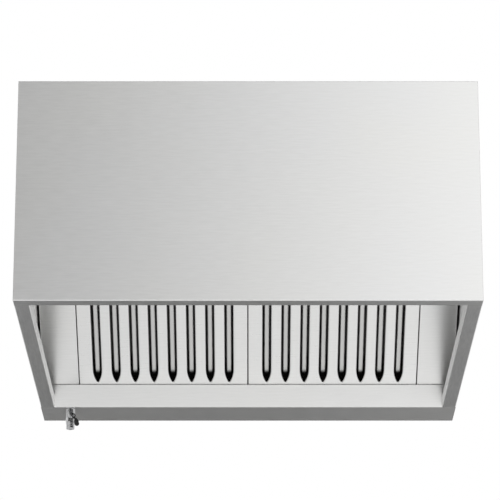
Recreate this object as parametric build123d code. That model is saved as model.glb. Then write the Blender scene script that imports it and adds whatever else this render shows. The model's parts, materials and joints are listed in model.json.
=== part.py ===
from build123d import *
import math
import os

# Driving dimensions in millimetres, with X across, Y towards the wall and Z up.
# Everything is drawn with Y = 0 on the wall and Z = 0 at the underside of the canopy.
LENGTH = 1000.0
DEPTH = 1000.0
HEIGHT = 500.0
SHEET = 1.5
BEND = 1.0
EDGE_ROUND = 1.2
TOP_FLANGE = 25.0

# Origin of the stored part: the centre of the four wall fixings.
FIX_HEIGHT = 300.0
FIX_SPACING_X = 800.0
FIX_SPACING_Z = 260.0
FIX_HOLE_R = 5.5

# Drip gutter round the front and the sides.
GUTTER = 35.0
SIDE_GUTTER = 33.0
GUTTER_LIP = 27.0
GUTTER_DRAIN_R = 5.0
GUTTER_DRAIN_LIFT = 3.5

# Grease trough along the wall, its face leaning out over the range.
TROUGH = 127.0
TROUGH_FACE = 52.2
TROUGH_LEAN = 14.5

# Filter bank: V runs up the slope and W stands out of it, both from the trough face's top edge.
SLOPE = 33.0
FILTER_GAP = 2.0
FILTER_WIDTH = 404.5
BANK_SHIFT = -1.1
FILTER_THICK = 44.0
FILTER_FOOT = 14.0
FILTER_LENGTH = 500.0
FILTER_SHEET = 1.0
TRAY_ROUND = 1.6
TRAY_FIT = 0.02
REAR_TRAY_DEPTH = 12.0
FILTER_LIFT = 22.0
RUNNING_GAP = 0.4
BANK_CLEARANCE = 0.6

# Long slots of a filter and the baffle strips behind them.
SLOT_COUNT = 8
SLOT_PITCH = 45.2
SLOT_WIDTH = 20.4
SLOT_NOSE = 42.0
SLOT_TIP_R = 2.0
SLOT_START = 6.0
SLOT_END = 458.0
SLOT_ROLL = 3.0
SLOT_COLLAR = 8.0
SLOT_ROLL_LAND = 0.4
BAFFLE_START = 24.0
BAFFLE_END = 456.0
BAFFLE_CREST = 16.0
BAFFLE_HALF = 5.0
BAFFLE_BASE_HALF = 8.5
BAFFLE_FOOT_HALF = 16.0
BAFFLE_BEND = 1.5
REAR_SLOT_WIDTH = 13.0
REAR_SLOT_START = 30.0
REAR_SLOT_END = 445.0
WEEP_R = 3.0
WEEP_COUNT = 6

# Folding bail handles near the top of each filter.
HANDLE_V = 385.0
HANDLE_PIVOT_W = 8.0
HANDLE_WIRE_R = 2.5
HANDLE_HOLE_R = 2.55
HANDLE_DROP = 38.0
EAR_THICK = 1.5
EAR_SIZE = 13.0
EAR_BASE = 12.0
EAR_SHIFT = 5.0
EAR_TOP_FLAT = 0.5
HANDLE_RIVET_HEAD_R = 3.0
HANDLE_GAP = 1.0
HANDLE_TAIL = 2.0
HANDLE_END_BEND = 3.5
HANDLE_BEND = 9.0
HANDLE_RIVET_R = 1.6
RIVET_R = 2.0
FILLER_RIVET_HEAD_R = 3.4
COLLAR_RIVET_HEAD_R = 3.6
RIVET_DOME = 0.55
RIVET_TAIL = 1.0
RIVET_TAIL_SHARE = 0.95

# Rails that carry the filters.
LEDGE_START = 4.0
LEDGE_DEPTH = 49.0
LEDGE_FOOT = 16.0
NOTCH_PITCH = 120.0
NOTCH_COUNT = 8
NOTCH_WIDTH = 24.0
NOTCH_HEIGHT = 10.0
RAIL_COVER = 16.0
RAIL_CLEARANCE = 0.5
RAIL_END_PLAY = 2.0
BAFFLE_LAP = 18.0
BAFFLE_FLANGE = 20.0
BAFFLE_END_GAP = 0.1

# Hat rails that stiffen the front and the top.
HAT_WIDTH = 30.0
HAT_RISE = 20.0
HAT_FOOT = 14.0
HAT_END_GAP = 30.0
FASCIA_HAT_Z = 260.0
TOP_HAT_Y = -740.0

# Blank panels beside the filters.
FILLER_WALL_GAP = 4.5
FILLER_SEAM = 1.4
FILLER_RIVET_INSET = 20.0

# Exhaust collar on the top.
COLLAR_R = 157.5
COLLAR_RISE = 70.0
COLLAR_FLANGE_R = 182.0
COLLAR_Y = -265.0
COLLAR_RIVETS = 8
COLLAR_GAP = 1.0
GASKET_THICK = 2.0

# Hanging brackets on the top corners, for threaded rods.
HANG_X = 430.0
HANG_FRONT_Y = -860.0
HANG_REAR_Y = -70.0
HANG_HOLE_R = 5.5
HANG_RISE = 35.0
HANG_TOP = 50.0
HANG_FOOT = 24.0
HANG_WIDTH = 40.0
HANG_SHEET = 3.0
HANG_BEND = 2.0
HANG_BOLT_R = 3.0
HANG_BOLT_LENGTH = 14.0
BOLT_HOLE_R = 3.3
HEX_FLATS = 10.0
BOLT_HEAD = 4.0
NUT_HEIGHT = 5.0

# Drain valve under the trough.
DRAIN_X = -429.0
DRAIN_Y = -111.0
SPUD_R = 8.3
SPUD_HOLE_R = 8.5
SPUD_TOP = 9.5
SPUD_DEPTH = 4.0
WASHER_THICK = 1.0
WASHER_R = 10.0
LOCKNUT_FLATS = 22.0
LOCKNUT_HEIGHT = 5.0
LOCKNUT_CORNER_R = 12.4
VALVE_R = 11.0
VALVE_TOP = -8.0
VALVE_SPLIT = -33.0
VALVE_BOTTOM = -50.0
STEM_Z = -20.0
VALVE_BORE_R = 5.0
VALVE_HEX_FLATS = 20.4
VALVE_HEX_R = 11.3
VALVE_HEX_HEIGHT = 9.0
VALVE_EDGE = 1.0
SPUD_SHOULDER_R = 10.4
OUTLET_WALL_R = 10.1
OUTLET_CHAMFER = 0.8
OUTLET_COLLAR = 5.0
STEM_TURN = 26.0
LEVER_TURN = 14.0
STEM_R = 2.5
STEM_HOLE_R = 2.55
STEM_START = 5.4
STEM_END = 20.0
STEM_THREAD_R = 1.5
BALL_R = 7.0
BALL_BORE_R = 4.0
BALL_FIT = 0.05
SEAT_R = 7.9
SEAT_HEIGHT = 3.0
BOSS_R = 5.0
BOSS_START = 4.0
BOSS_END = 12.5
GLAND_FLATS = 9.0
GLAND_END = 15.5
LEVER_HUB = 15.9
LEVER_THICK = 1.6
LEVER_WIDTH = 6.5
LEVER_HUB_R = 5.5
LEVER_STRAIGHT = 6.0
LEVER_CRANK = 10.0
LEVER_CRANK_END = 11.5
LEVER_REACH = 25.0
LEVER_SEAT = 0.2
LEVER_NUT_FLATS = 5.5
GRIP_WIDTH = 11.4
GRIP_LENGTH = 17.0
GRIP_THICK = 5.6
GRIP_TIP = 3.5
GRIP_FLAT = 0.8
OUTLET_R = 7.6
OUTLET_DEPTH = 12.0
THREAD_FIT = 0.02

HALF = LENGTH / 2
WALL = HALF - SHEET
MOUTH = HALF - SIDE_GUTTER
FRONT = -DEPTH
LIP = FRONT + GUTTER
FACE_ANGLE = math.atan2(TROUGH_LEAN, TROUGH_FACE)
FACE_EDGE_Y = -TROUGH - TROUGH_LEAN + SHEET * math.cos(FACE_ANGLE)
FACE_EDGE_Z = TROUGH_FACE + SHEET * math.sin(FACE_ANGLE)
BANK_Y = FACE_EDGE_Y + BANK_CLEARANCE / math.sin(math.radians(SLOPE))
BANK = Plane(
    origin=(0, BANK_Y, FACE_EDGE_Z),
    x_dir=(1, 0, 0),
    z_dir=(0, -math.sin(math.radians(SLOPE)), -math.cos(math.radians(SLOPE))),
)
FILTER_TOP = FILTER_LENGTH - FILTER_FOOT
RAIL_WEB = FILTER_TOP + FILTER_LIFT + RAIL_END_PLAY
FILTER_CENTRE = (FILTER_GAP + FILTER_WIDTH) / 2
DRAIN_TURN = math.radians(STEM_TURN)
STEM = Plane(
    origin=(DRAIN_X, DRAIN_Y, STEM_Z),
    x_dir=(math.cos(DRAIN_TURN), math.sin(DRAIN_TURN), 0),
    z_dir=(math.sin(DRAIN_TURN), -math.cos(DRAIN_TURN), 0),
)


def block(x, y, z):
    """A box between two limits on each axis."""
    size = [high - low for low, high in (x, y, z)]
    middle = [(high + low) / 2 for low, high in (x, y, z)]
    return Pos(*middle) * Box(*size)


def upright(radius, low, high, x=0.0, y=0.0):
    """A cylinder standing along Z between two heights."""
    return Pos(x, y, (low + high) / 2) * Cylinder(radius, high - low)


def prism(across_flats, low, high, x=0.0, y=0.0):
    """A hexagonal prism standing along Z between two heights."""
    hexagon = RegularPolygon(across_flats / 2, 6, major_radius=False)
    return Pos(x, y, low) * extrude(hexagon, high - low)


def folded(points, thickness=SHEET, bend=BEND):
    """The section of a folded sheet: its thickness lies to the left of the line of points."""
    sides = []
    for start, end in zip(points, points[1:]):
        run = math.dist(start, end)
        sides.append(((end[0] - start[0]) / run, (end[1] - start[1]) / run))
    inner = [(points[0][0] - sides[0][1] * thickness, points[0][1] + sides[0][0] * thickness)]
    radii, inner_radii = [], []
    for corner, before, after in zip(points[1:], sides, sides[1:]):
        turn = before[0] * after[1] - before[1] * after[0]
        reach = thickness / (1 + before[0] * after[0] + before[1] * after[1])
        shift = (-(before[1] + after[1]) * reach, (before[0] + after[0]) * reach)
        inner.append((corner[0] + shift[0], corner[1] + shift[1]))
        radii.append(bend + thickness if turn > 0 else bend)
        inner_radii.append(bend if turn > 0 else bend + thickness)
    last = sides[-1]
    inner.append((points[-1][0] - last[1] * thickness, points[-1][1] + last[0] * thickness))
    outer_line = FilletPolyline(*points, radius=radii)
    inner_line = FilletPolyline(*inner, radius=inner_radii)
    ends = [Line(outer_line @ 1, inner_line @ 1), Line(inner_line @ 0, outer_line @ 0)]
    return make_face([*outer_line.edges(), *inner_line.edges(), *[end.edge() for end in ends]])


def along_x(section, low, high):
    """A section drawn in Y and Z, run from one X to another."""
    return Pos(low, 0, 0) * extrude(Plane.YZ * section, high - low)


def along_y(section, low, high):
    """A section drawn in X and Z, run from one Y to another."""
    return Pos(0, high, 0) * extrude(Plane.XZ * section, high - low)


def mirrored(shape):
    """The same piece on the other side of the hood."""
    return mirror(shape, about=Plane.YZ)


def solids_of(shapes):
    """Separate solids kept together as one group."""
    return Compound(children=[solid for shape in shapes for solid in shape.solids()])


def bank_point(v, w):
    """Where a point of the filter bank's own V and W lies in Y and Z."""
    place = BANK.from_local_coords(Vector(0, v, w))
    return place.Y, place.Z


def front_panel():
    """Big flat front with the drip gutter folded under it."""
    outline = [(FRONT, HEIGHT), (FRONT, 0), (LIP, 0)]
    gutter = folded([*outline, (LIP, GUTTER_LIP)])
    corner = folded(outline)
    reach = MOUTH + SHEET
    panel = along_x(gutter, -reach, reach)
    panel += along_x(corner, -HALF, -reach) + along_x(corner, reach, HALF)
    outer = panel.faces().filter_by(Axis.Y).sort_by(Axis.Y)[0]
    rims = outer.edges().filter_by(Axis.Z) + outer.edges().filter_by(Axis.X).sort_by(Axis.Z)[-1:]
    return fillet(rims, EDGE_ROUND)


def trough_line():
    """The trough's outside in Y and Z, from the wall to the top of its face."""
    return [(0, 0), (-TROUGH, 0), (-TROUGH - TROUGH_LEAN, TROUGH_FACE)]


def right_side_panel():
    """Side wall with its gutter, butted between the front gutter and the grease trough."""
    gutter = folded([(MOUTH, GUTTER_LIP), (MOUTH, 0), (HALF, 0), (HALF, HEIGHT)])
    panel = along_y(gutter, LIP, -TROUGH)
    inside_trough = make_face(Polyline(*trough_line(), (0, TROUGH_FACE), close=True))
    panel -= along_x(inside_trough, MOUTH - 1, WALL)
    front = FRONT + SHEET
    panel += block((WALL, HALF), (front, LIP), (SHEET, HEIGHT))
    panel -= block((WALL - 1, HALF + 1), (front - 1, front + BEND), (0, SHEET + BEND))
    return panel + block((WALL, HALF), (-TROUGH, 0), (SHEET, HEIGHT))


def rear_panel():
    """Back wall with four holes for the wall bolts."""
    panel = block((-WALL, WALL), (-SHEET, 0), (SHEET, HEIGHT))
    for x in (-FIX_SPACING_X / 2, FIX_SPACING_X / 2):
        for z in (FIX_HEIGHT - FIX_SPACING_Z / 2, FIX_HEIGHT + FIX_SPACING_Z / 2):
            panel -= Pos(x, -SHEET / 2, z) * Rot(90, 0, 0) * Cylinder(FIX_HOLE_R, 4 * SHEET)
    return panel


def top_panel():
    """Top sheet with edges turned down inside the walls, holed for the duct and brackets."""
    front, rear = FRONT + SHEET, -SHEET
    panel = block((-WALL, WALL), (front, rear), (HEIGHT - TOP_FLANGE, HEIGHT))
    inside = (-WALL + SHEET, WALL - SHEET), (front + SHEET, rear - SHEET)
    panel -= block(*inside, (HEIGHT - TOP_FLANGE - 1, HEIGHT - SHEET))
    panel -= upright(COLLAR_R + COLLAR_GAP, HEIGHT - 3, HEIGHT + 1, 0, COLLAR_Y)
    for x, y in bracket_bolt_places():
        panel -= upright(BOLT_HOLE_R, HEIGHT - 3, HEIGHT + 1, x, y)
    for x, y in collar_rivet_places():
        panel -= upright(RIVET_R, HEIGHT - 3, HEIGHT + 1, x, y)
    return panel


def hat_rail(origin, x_dir):
    """A hat-shaped rail along X whose feet lie on the sheet at the origin."""
    half, end = HAT_WIDTH / 2, HAT_WIDTH / 2 + HAT_FOOT
    line = [(-end, 0), (-half, 0), (-half, HAT_RISE), (half, HAT_RISE), (half, 0), (end, 0)]
    start = (-HALF + HAT_END_GAP, *origin)
    place = Plane(origin=start, x_dir=x_dir, z_dir=(1, 0, 0))
    return place * extrude(folded(line), LENGTH - 2 * HAT_END_GAP)


def fascia_stiffener():
    """Hat rail spot welded across the back of the front panel."""
    return hat_rail((FRONT + SHEET, FASCIA_HAT_Z), (0, 0, -1))


def top_stiffener():
    """Hat rail under the top sheet, between the front hanging brackets and the plenum."""
    return hat_rail((TOP_HAT_Y, HEIGHT - SHEET), (0, -1, 0))


def grease_trough():
    """Flat bottom along the wall with a leaning face, drained at one end."""
    trough = along_x(folded(list(reversed(trough_line()))), -WALL, WALL)
    for side in (-1, 1):
        edge = sorted((side * WALL, side * HALF))
        trough += block(edge, (-TROUGH, 0), (0, SHEET))
        weep = Rot(90, 0, 0) * Cylinder(GUTTER_DRAIN_R, 8 * SHEET)
        trough -= Pos(side * (MOUTH + WALL + SHEET) / 2, -TROUGH, GUTTER_DRAIN_R + GUTTER_DRAIN_LIFT) * weep
    return trough - upright(SPUD_HOLE_R, -1, 3 * SHEET, DRAIN_X, DRAIN_Y)


def lower_filter_rail():
    """Ledge inside the trough that the filters stand on, on a leg with drain notches."""
    ledge = -FILTER_FOOT - RUNNING_GAP - SHEET
    front = bank_point(ledge, -LEDGE_START)
    rear = bank_point(ledge, -LEDGE_START - LEDGE_DEPTH)
    line = [front, rear, (rear[0], SHEET), (rear[0] + LEDGE_FOOT, SHEET)]
    rail = along_x(folded(line), -WALL, WALL)
    low = SHEET + SHEET + BEND
    notch = Pos(0, rear[0], low + NOTCH_HEIGHT / 2) * Box(NOTCH_WIDTH, 4 * SHEET, NOTCH_HEIGHT)
    for n in range(NOTCH_COUNT):
        rail -= Pos((n - (NOTCH_COUNT - 1) / 2) * NOTCH_PITCH, 0, 0) * notch
    return rail


def upper_filter_rail():
    """Channel that holds the filters' upper ends, deep enough to lift them into."""
    back = -FILTER_THICK - 2 * RAIL_CLEARANCE
    cover = FILTER_TOP - RAIL_COVER
    inside = [(cover, RAIL_CLEARANCE), (RAIL_WEB, RAIL_CLEARANCE), (RAIL_WEB, back), (cover, back)]
    rail = along_x(folded([bank_point(v, w) for v, w in inside]), -WALL, WALL)
    for x in filler_rivet_places():
        rail -= BANK * Pos(x, cover + RAIL_COVER / 2, 0) * Cylinder(RIVET_R, 8)
    return rail


def plenum_baffle():
    """Upright sheet that closes the plenum between the upper rail and the top."""
    foot_low = bank_point(RAIL_WEB + SHEET, -BAFFLE_LAP)
    foot_high = bank_point(RAIL_WEB + SHEET, -FILTER_THICK)
    ceiling = HEIGHT - SHEET
    line = [foot_low, foot_high, (foot_high[0], ceiling), (foot_high[0] - BAFFLE_FLANGE, ceiling)]
    reach = WALL - SHEET - BAFFLE_END_GAP
    return along_x(folded(line), -reach, reach)


def pan(width, thickness, low, high, depth):
    """A shallow tray in the filter bank's own axes, its face outwards at W = 0."""
    tray = Pos(0, (low + high) / 2, -depth / 2) * Box(width, high - low, depth)
    rims = tray.edges().filter_by(Axis.Z) + tray.faces().sort_by(Axis.Z)[-1].edges()
    tray = fillet(rims, TRAY_ROUND)
    inner = width - 2 * thickness, high - low - 2 * thickness, depth
    return tray - Pos(0, (low + high) / 2, -depth / 2 - thickness) * Box(*inner)


def slot_outline():
    """One long slot with pointed round ends, centred on X = 0."""
    half = SLOT_WIDTH / 2
    low, high = SLOT_START + SLOT_NOSE, SLOT_END - SLOT_NOSE
    lines = [
        Line((half, low), (half, high)),
        TangentArc((half, high), (0, SLOT_END), tangent=(0, 1)),
        TangentArc((-half, high), (0, SLOT_END), tangent=(0, 1)),
        Line((-half, high), (-half, low)),
        TangentArc((-half, low), (0, SLOT_START), tangent=(0, -1)),
        TangentArc((half, low), (0, SLOT_START), tangent=(0, -1)),
    ]
    outline = make_face([line.edge() for line in lines])
    tips = [corner for corner in outline.vertices() if abs(corner.X) < 0.01]
    return fillet(tips, SLOT_TIP_R)


def slot_places():
    """Distances of the slots from a filter's middle."""
    first = -(SLOT_COUNT - 1) / 2 * SLOT_PITCH
    return [first + n * SLOT_PITCH for n in range(SLOT_COUNT)]


def slot_collar(outline):
    """Edge of a slot, rolled inwards and drawn down into a short collar."""
    wide = offset(outline, SLOT_ROLL)
    thin = offset(outline, FILTER_SHEET)
    rolled = extrude(wide - outline, -SLOT_ROLL)
    crest = rolled.faces().sort_by(Axis.Z)[-1]
    rolled = fillet(crest.inner_wires()[0].edges(), SLOT_ROLL - SLOT_ROLL_LAND)
    return rolled + Pos(0, 0, -SLOT_ROLL) * extrude(thin - outline, SLOT_ROLL - SLOT_COLLAR)


def filter_front():
    """Front tray of a filter: eight slots, and weep holes in its lower end."""
    tray = pan(FILTER_WIDTH, FILTER_SHEET, -FILTER_FOOT, FILTER_TOP, FILTER_THICK)
    outline = slot_outline()
    hole = Pos(0, 0, -2) * extrude(offset(outline, SLOT_ROLL), 4)
    collar = slot_collar(outline)
    for x in slot_places():
        tray = tray - Pos(x, 0, 0) * hole + Pos(x, 0, 0) * collar
    spread = FILTER_WIDTH / WEEP_COUNT
    for n in range(WEEP_COUNT):
        x = (n + 0.5) * spread - FILTER_WIDTH / 2
        tray -= Pos(x, -FILTER_FOOT, -FILTER_THICK / 2) * Rot(90, 0, 0) * Cylinder(WEEP_R, 6)
    for x in handle_rivet_places():
        tray -= Pos(x, HANDLE_V, 0) * Cylinder(HANDLE_RIVET_R, 6)
    return tray


def filter_rear():
    """Rear tray of a filter, slotted between the baffle strips."""
    fit = FILTER_SHEET + TRAY_FIT
    width = FILTER_WIDTH - 2 * fit
    tray = pan(width, FILTER_SHEET, -FILTER_FOOT + fit, FILTER_TOP - fit, REAR_TRAY_DEPTH)
    middle, length = (REAR_SLOT_START + REAR_SLOT_END) / 2, REAR_SLOT_END - REAR_SLOT_START
    opening = extrude(Pos(0, middle) * SlotOverall(length, REAR_SLOT_WIDTH, rotation=90), 4)
    for n in range(SLOT_COUNT - 1):
        tray -= Pos((n - SLOT_COUNT / 2 + 1) * SLOT_PITCH, 0, -2) * opening
    return Pos(0, 0, -FILTER_THICK) * mirror(tray, about=Plane.XY)


def filter_baffles():
    """Eight hat strips standing on the rear tray, one behind each slot."""
    floor = -FILTER_THICK + FILTER_SHEET
    top = -BAFFLE_CREST
    half = [(BAFFLE_FOOT_HALF, floor), (BAFFLE_BASE_HALF, floor), (BAFFLE_HALF, top)]
    line = [(-x, w) for x, w in half] + list(reversed(half))
    section = folded(line, FILTER_SHEET, BAFFLE_BEND)
    strip = Pos(0, BAFFLE_END, 0) * extrude(Plane.XZ * section, BAFFLE_END - BAFFLE_START)
    return solids_of([Pos(x, 0, 0) * strip for x in slot_places()])


def ear_places():
    """Pairs of ears, each pair on webs two slot pitches apart, a little outside their middles."""
    pairs = [(-3 * SLOT_PITCH, -SLOT_PITCH), (SLOT_PITCH, 3 * SLOT_PITCH)]
    return [(left - EAR_SHIFT, right + EAR_SHIFT) for left, right in pairs]


def ear(side):
    """One riveted ear: a foot on the filter's face and an upright with the pivot hole."""
    low, high = sorted((0, side * EAR_THICK))
    upstand = block((low, high), (-EAR_SIZE / 2, EAR_SIZE / 2), (0, EAR_SIZE))
    rounded = upstand.faces().sort_by(Axis.Z)[-1].edges().filter_by(Axis.X)
    upstand = fillet(rounded, EAR_SIZE / 2 - EAR_TOP_FLAT)
    span = sorted((0, -side * (EAR_BASE - EAR_THICK)))
    foot = block(span, (-EAR_SIZE / 2, EAR_SIZE / 2), (0, EAR_THICK))
    foot -= Pos(-side * EAR_BASE / 2, 0, 0) * Cylinder(HANDLE_RIVET_R, 6)
    hole = Pos(0, 0, HANDLE_PIVOT_W) * Rot(0, 90, 0) * Cylinder(HANDLE_HOLE_R, 8)
    return upstand + foot - hole


def handle_brackets():
    """The four ears of a filter."""
    ears = []
    for left, right in ear_places():
        ears.append(Pos(left, HANDLE_V, 0) * ear(-1))
        ears.append(Pos(right, HANDLE_V, 0) * ear(1))
    return solids_of(ears)


def handle_rivet_places():
    """Distances of the handle rivets from a filter's middle."""
    places = []
    for left, right in ear_places():
        places += [left + EAR_BASE / 2, right - EAR_BASE / 2]
    return places


def dome_rivet(shank, head, low, high):
    """A rivet with a domed head above one height and a flat tail below another."""
    dome = Pos(0, 0, high) * Sphere(head)
    dome &= block((-head, head), (-head, head), (high, high + head * RIVET_DOME))
    tail = upright(head * RIVET_TAIL_SHARE, low - RIVET_TAIL, low)
    return dome + upright(shank, low, high) + tail


def handle_rivets():
    """One domed rivet through each ear's foot and the filter's face."""
    rivet = dome_rivet(HANDLE_RIVET_R, HANDLE_RIVET_HEAD_R, -FILTER_SHEET, EAR_THICK)
    return solids_of([Pos(x, HANDLE_V, 0) * rivet for x in handle_rivet_places()])


def bail(left, right):
    """A wire handle hanging straight down from its two ears, about its own pivot."""
    outer = 2 * HANDLE_WIRE_R + HANDLE_GAP
    low, high = left - outer, right + outer
    inset = outer + EAR_THICK + HANDLE_TAIL
    points = [
        (low + inset, 0, 0),
        (low, 0, 0),
        (low, 0, -HANDLE_DROP),
        (high, 0, -HANDLE_DROP),
        (high, 0, 0),
        (high - inset, 0, 0),
    ]
    path = FilletPolyline(*points, radius=[HANDLE_END_BEND, HANDLE_BEND, HANDLE_BEND, HANDLE_END_BEND])
    profile = Plane(origin=points[0], z_dir=(-1, 0, 0)) * Circle(HANDLE_WIRE_R)
    return sweep(profile, path=path)


def handle_pivot():
    """The handles' pivot line in Y and Z."""
    return bank_point(HANDLE_V, HANDLE_PIVOT_W)


def handle(filter_x, pair):
    """A bail set on one pair of ears of a filter."""
    y, z = handle_pivot()
    return Pos(filter_x, y, z) * bail(*pair)


def filler_span(shift):
    """Inner and outer edge of the blank panel on the right of a bank shifted by so much."""
    return shift + FILTER_GAP / 2 + FILTER_WIDTH + FILLER_SEAM, WALL - FILLER_WALL_GAP


def filler_rivet_pair(shift):
    """Places of the two rivets of the right blank panel."""
    inner, outer = filler_span(shift)
    return [inner + FILLER_RIVET_INSET, outer - FILLER_RIVET_INSET]


def filler_rivet_places():
    """Two rivets for each blank panel, right and left."""
    return filler_rivet_pair(BANK_SHIFT) + [-x for x in filler_rivet_pair(-BANK_SHIFT)]


def filler_panel(shift):
    """Blank tray that fills the slope between the last filter and the right side wall."""
    inner, outer = filler_span(shift)
    tray = pan(outer - inner, SHEET, -FILTER_FOOT, FILTER_TOP, FILTER_THICK)
    tray = Pos((inner + outer) / 2, 0, 0) * tray
    for x in filler_rivet_pair(shift):
        tray -= Pos(x, FILTER_TOP - RAIL_COVER / 2, 0) * Cylinder(RIVET_R, 8)
    return BANK * tray


def filler_rivets():
    """Rivets that hold the blank panels to the upper rail."""
    rivet = dome_rivet(RIVET_R, FILLER_RIVET_HEAD_R, -SHEET, RAIL_CLEARANCE + SHEET)
    v = FILTER_TOP - RAIL_COVER / 2
    return solids_of([BANK * Pos(x, v, 0) * rivet for x in filler_rivet_places()])


def collar_rivet_places():
    """Rivets evenly spaced round the collar's flange."""
    ring = (COLLAR_R + COLLAR_FLANGE_R) / 2
    angles = [(n + 0.5) * 2 * math.pi / COLLAR_RIVETS for n in range(COLLAR_RIVETS)]
    return [(ring * math.cos(a), COLLAR_Y + ring * math.sin(a)) for a in angles]


def exhaust_collar():
    """Round duct spigot with a flat flange."""
    seat = HEIGHT + GASKET_THICK
    collar = upright(COLLAR_R, seat, HEIGHT + COLLAR_RISE)
    collar += upright(COLLAR_FLANGE_R, seat, seat + SHEET)
    collar -= upright(COLLAR_R - SHEET, seat - 1, HEIGHT + COLLAR_RISE + 1)
    collar = Pos(0, COLLAR_Y, 0) * collar
    for x, y in collar_rivet_places():
        collar -= upright(RIVET_R, seat - 1, seat + 2 * SHEET, x, y)
    return collar


def collar_gasket():
    """Flat seal under the collar's flange."""
    ring = upright(COLLAR_FLANGE_R, HEIGHT, HEIGHT + GASKET_THICK)
    ring -= upright(COLLAR_R + COLLAR_GAP, HEIGHT - 1, HEIGHT + GASKET_THICK + 1)
    ring = Pos(0, COLLAR_Y, 0) * ring
    for x, y in collar_rivet_places():
        ring -= upright(RIVET_R, HEIGHT - 1, HEIGHT + GASKET_THICK + 1, x, y)
    return ring


def collar_rivets():
    """Domed rivets that hold the collar down."""
    rivet = dome_rivet(RIVET_R, COLLAR_RIVET_HEAD_R, HEIGHT - SHEET, HEIGHT + GASKET_THICK + SHEET)
    return solids_of([Pos(x, y, 0) * rivet for x, y in collar_rivet_places()])


def bracket_places():
    """Middle of each hanging bracket, with its name."""
    return {
        "front_left": (-HANG_X, HANG_FRONT_Y),
        "front_right": (HANG_X, HANG_FRONT_Y),
        "rear_left": (-HANG_X, HANG_REAR_Y),
        "rear_right": (HANG_X, HANG_REAR_Y),
    }


def bracket_bolt_places():
    """Two bolts for each hanging bracket, one through each foot."""
    reach = (HANG_TOP + HANG_FOOT) / 2
    return [(x + side * reach, y) for x, y in bracket_places().values() for side in (-1, 1)]


def hanging_bracket():
    """A raised bridge with a rod hole, standing on two bolted feet."""
    half = HANG_TOP / 2
    end = half + HANG_FOOT
    line = [(-end, 0), (-half, 0), (-half, HANG_RISE), (half, HANG_RISE), (half, 0), (end, 0)]
    bridge = along_y(folded(line, HANG_SHEET, HANG_BEND), -HANG_WIDTH / 2, HANG_WIDTH / 2)
    bridge -= upright(HANG_HOLE_R, HANG_RISE - 2, HANG_RISE + 5)
    for side in (-1, 1):
        bridge -= upright(BOLT_HOLE_R, -1, 5, side * (half + HANG_FOOT / 2))
    return Pos(0, 0, HEIGHT) * bridge


def bracket_bolts():
    """Hexagon bolts down through the brackets' feet."""
    seat = HEIGHT + HANG_SHEET
    bolt = prism(HEX_FLATS, seat, seat + BOLT_HEAD)
    bolt += upright(HANG_BOLT_R, seat - HANG_BOLT_LENGTH, seat)
    return solids_of([Pos(x, y, 0) * bolt for x, y in bracket_bolt_places()])


def bracket_nuts():
    """Nuts under the top sheet."""
    under = HEIGHT - SHEET
    nut = prism(HEX_FLATS, under - NUT_HEIGHT, under)
    nut -= upright(HANG_BOLT_R + THREAD_FIT, under - NUT_HEIGHT - 1, under + 1)
    return solids_of([Pos(x, y, 0) * nut for x, y in bracket_bolt_places()])


def at_drain(shape):
    """A piece drawn about the drain's axis, set in its place."""
    return Pos(DRAIN_X, DRAIN_Y, 0) * shape


def drain_washer():
    """Flat seal between the spud's shoulder and the trough's underside."""
    return at_drain(upright(WASHER_R, -WASHER_THICK, 0) - upright(SPUD_HOLE_R, -3, 1))


def drain_spud():
    """Threaded tube through the trough's floor, with a shoulder below it."""
    low = VALVE_TOP - SPUD_DEPTH
    spud = upright(SPUD_R, low, SPUD_TOP) + upright(SPUD_SHOULDER_R, VALVE_TOP, -WASHER_THICK)
    return at_drain(spud - upright(VALVE_BORE_R, low - 1, SPUD_TOP + 1))


def drain_locknut():
    """Nut on the spud inside the trough."""
    top = SHEET + LOCKNUT_HEIGHT
    nut = prism(LOCKNUT_FLATS, SHEET, top) & upright(LOCKNUT_CORNER_R, SHEET, top)
    return at_drain(nut - upright(SPUD_R + THREAD_FIT, 0, top + 1))


def valve_body():
    """Upper half of the ball valve, with a hexagon to hold and a boss for the stem."""
    shoulder = VALVE_SPLIT + VALVE_HEX_HEIGHT
    barrel = upright(VALVE_R, shoulder, VALVE_TOP)
    barrel = fillet(barrel.edges().filter_by(GeomType.CIRCLE), VALVE_EDGE)
    hexagon = prism(VALVE_HEX_FLATS, VALVE_SPLIT, shoulder + VALVE_EDGE)
    barrel += hexagon & upright(VALVE_HEX_R, VALVE_SPLIT, shoulder + VALVE_EDGE)
    body = at_drain(barrel) + STEM * upright(BOSS_R, BOSS_START, BOSS_END)
    body -= at_drain(upright(SPUD_R + THREAD_FIT, VALVE_TOP - SPUD_DEPTH, VALVE_TOP + 1))
    body -= at_drain(upright(VALVE_BORE_R, VALVE_SPLIT - 1, VALVE_TOP))
    body -= at_drain(upright(SEAT_R + THREAD_FIT, VALVE_SPLIT - 1, STEM_Z + BALL_R))
    return body - STEM * upright(STEM_HOLE_R, 0, BOSS_END + 1)


def ball_seats():
    """Two soft rings that the ball turns between."""
    ring = upright(SEAT_R, BALL_R - SEAT_HEIGHT, BALL_R)
    ring -= upright(VALVE_BORE_R, 0, BALL_R + 1)
    ring -= Sphere(BALL_R + BALL_FIT)
    pair = [ring, mirror(ring, about=Plane.XY)]
    return solids_of([at_drain(Pos(0, 0, STEM_Z) * seat) for seat in pair])


def valve_ball():
    """Bored ball with a slot for the stem's tongue, turned with the lever."""
    bore = STEM * Rot(0, 0, LEVER_TURN) * Rot(90, 0, 0) * Cylinder(BALL_BORE_R, 3 * BALL_R)
    ball = at_drain(Pos(0, 0, STEM_Z) * Sphere(BALL_R)) - bore
    return ball - STEM * upright(STEM_R, STEM_START, BALL_R + 2)


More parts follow.
